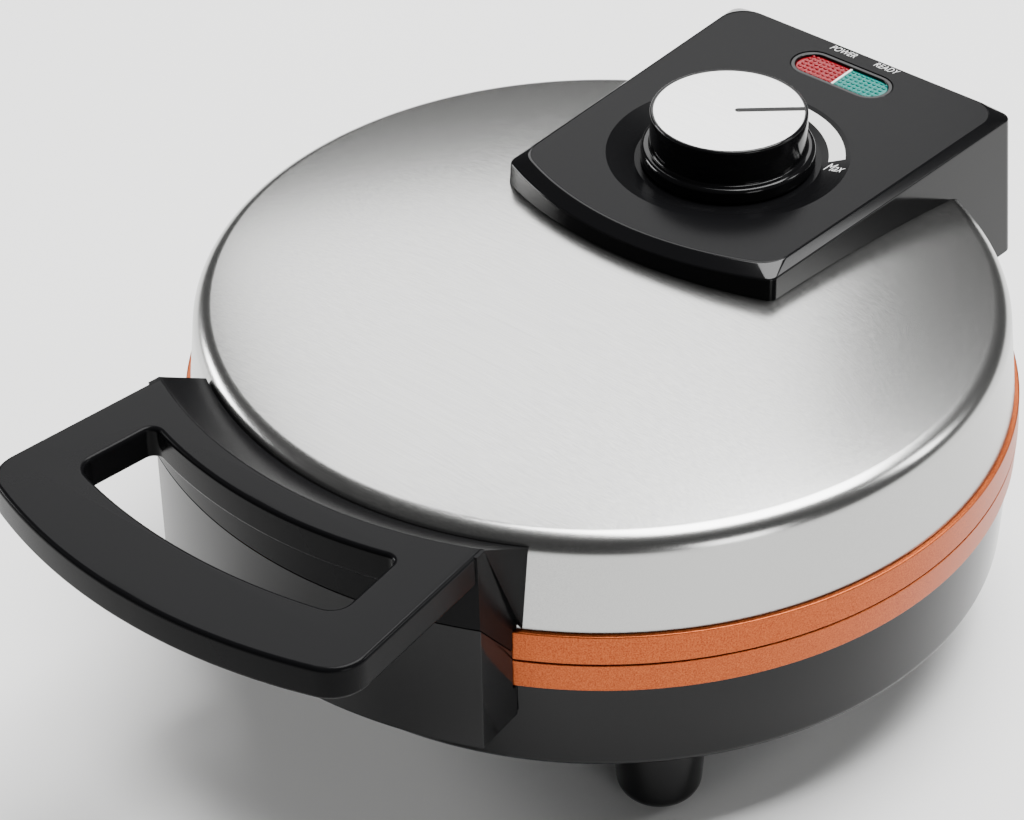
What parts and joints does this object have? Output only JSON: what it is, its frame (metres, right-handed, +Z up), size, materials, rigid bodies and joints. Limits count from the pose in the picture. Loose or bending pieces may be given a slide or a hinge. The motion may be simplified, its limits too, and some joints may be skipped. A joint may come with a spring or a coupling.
{
  "type": "belgian waffle maker",
  "caption": "Round waffle maker on feet: hinged brushed steel lid with loop handle, copper-coloured plates, black base and a turning browning knob.",
  "frame": {"origin": "on the table under the middle of the whole length and width", "axes": "+Z up, +Y from the handle towards the hinge, +X to the right seen from the handle"},
  "size_m": [0.216, 0.2874, 0.1218],
  "materials": {
    "gloss_black_plastic": "gloss moulded",
    "satin_black_plastic": "satin moulded",
    "brushed_steel": "brushed along X",
    "copper_nonstick": "copper-coloured non-stick coating",
    "plain_steel": "plain sheet",
    "bright_tray": "bright sheet",
    "plated_steel": "zinc plated",
    "foot_rubber": "matte",
    "red_lens": "clear moulded",
    "green_lens": "clear moulded",
    "lamp_glass": "clear",
    "brushed_face": "fine brushed",
    "pale_ink": "printed",
    "dark_ink": "printed"
  },
  "bodies": {
    "base": {"base_shell": "gloss_black_plastic", "bottom_cover": "plain_steel", "cover_screws": "plated_steel", "feet": "gloss_black_plastic", "foot_pads": "foot_rubber", "foot_screws": "plated_steel", "lower_plate": "copper_nonstick", "lower_plate_screws": "plated_steel", "lower_element": "plain_steel", "lower_element_straps": "plain_steel", "lower_strap_screws": "plated_steel", "lower_reflector": "bright_tray", "front_apron": "gloss_black_plastic", "apron_screws": "plated_steel", "hinge_bracket": "plain_steel", "hinge_pin": "plated_steel", "inlet_gland": "satin_black_plastic", "terminal_block": "satin_black_plastic"},
    "lid": {"upper_plate": "copper_nonstick", "upper_element": "plain_steel", "upper_element_straps": "plain_steel", "upper_strap_screws": "plated_steel", "upper_reflector": "bright_tray", "lid_frame": "satin_black_plastic", "upper_plate_screws": "plated_steel", "lid_shell": "brushed_steel", "handle": "gloss_black_plastic", "handle_screws": "plated_steel", "hinge_arms": "plain_steel", "arm_screws": "plated_steel", "control_housing": "gloss_black_plastic", "control_panel": "satin_black_plastic", "housing_screws": "plated_steel", "power_lens": "red_lens", "ready_lens": "green_lens", "lamps": "lamp_glass", "lamp_holder": "satin_black_plastic", "dial_scale": "pale_ink", "thermostat_body": "plain_steel", "thermostat_strap": "plain_steel", "thermal_fuse": "plated_steel"},
    "knob": {"knob_body": "gloss_black_plastic", "knob_face": "brushed_face", "knob_pointer": "dark_ink", "thermostat_shaft": "plated_steel"}
  },
  "joints": [
    {"name": "lid_hinge", "type": "hinge", "parent": "base", "child": "lid", "pos_m": [0, 0.13775, 0.06], "axis": [-1, 0, 0], "range_deg": [0, 100]},
    {"name": "knob_turn", "type": "hinge", "parent": "lid", "child": "knob", "pos_m": [0, 0.07785, 0.109], "axis": [0, 0, 1], "range_deg": [-15, 112]}
  ]
}
